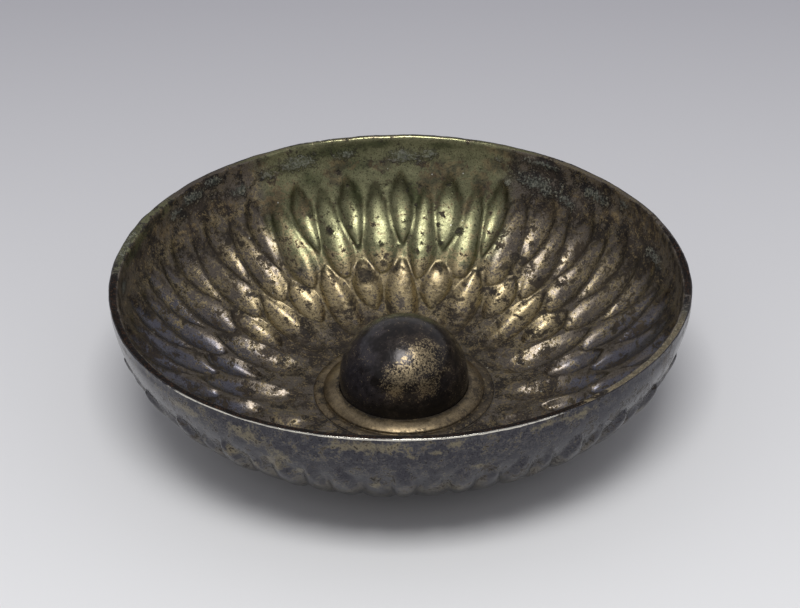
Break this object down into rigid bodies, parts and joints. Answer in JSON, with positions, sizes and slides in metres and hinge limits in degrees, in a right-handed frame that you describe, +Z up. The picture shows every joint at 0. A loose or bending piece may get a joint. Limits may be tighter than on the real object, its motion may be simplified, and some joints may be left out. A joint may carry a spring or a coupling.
{
  "type": "phiale",
  "caption": "Shallow round libation bowl with leaf-shaped troughs driven into its wall and a hollow central boss that gives the fingers a hold from below.",
  "frame": {"origin": "middle of the floor's underside, on the surface that the bowl stands on", "axes": "+Z up along the bowl's axis, -Y towards the viewer of the picture, +X to the viewer's right"},
  "size_m": [0.18, 0.18, 0.045],
  "materials": {
    "bowl_bronze": "raised bronze, worn golden on the ridges, with dark brown and green patina",
    "omphalos_bronze": "blackish-brown patina, rubbed through to gold in patches",
    "collar_bronze": "golden-brown bronze, rubbed on the crest",
    "solder": "dull grey-brown solder"
  },
  "bodies": {
    "root": {"bowl": "bowl_bronze", "omphalos": "omphalos_bronze", "collar": "collar_bronze", "solder": "solder"}
  },
  "joints": []
}
